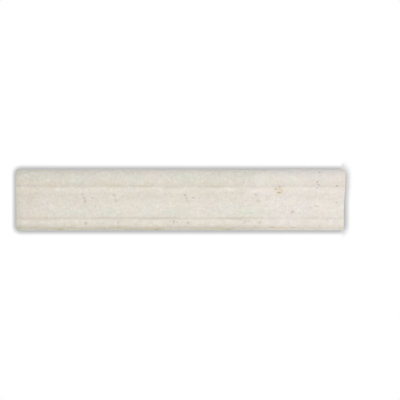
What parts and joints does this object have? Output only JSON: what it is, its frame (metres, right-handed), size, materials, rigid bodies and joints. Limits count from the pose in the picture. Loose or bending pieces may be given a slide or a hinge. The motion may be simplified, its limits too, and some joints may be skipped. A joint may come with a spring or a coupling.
{
  "type": "dado rail",
  "caption": "Straight limestone dado rail with a flat back, half round nose, raked listel, cove and bead, and square sawn ends.",
  "frame": {"origin": "middle of the flat back face, which the rail lies on", "axes": "+X along the rail, +Y up the wall towards the nose when it is fitted, +Z out of the wall, from the back to the nose"},
  "size_m": [0.305, 0.057, 0.03],
  "materials": {
    "limestone": "cream limestone with small open pits, honed on the moulded face and sawn on the back and ends"
  },
  "bodies": {
    "root": {"dado_rail": "limestone"}
  },
  "joints": []
}
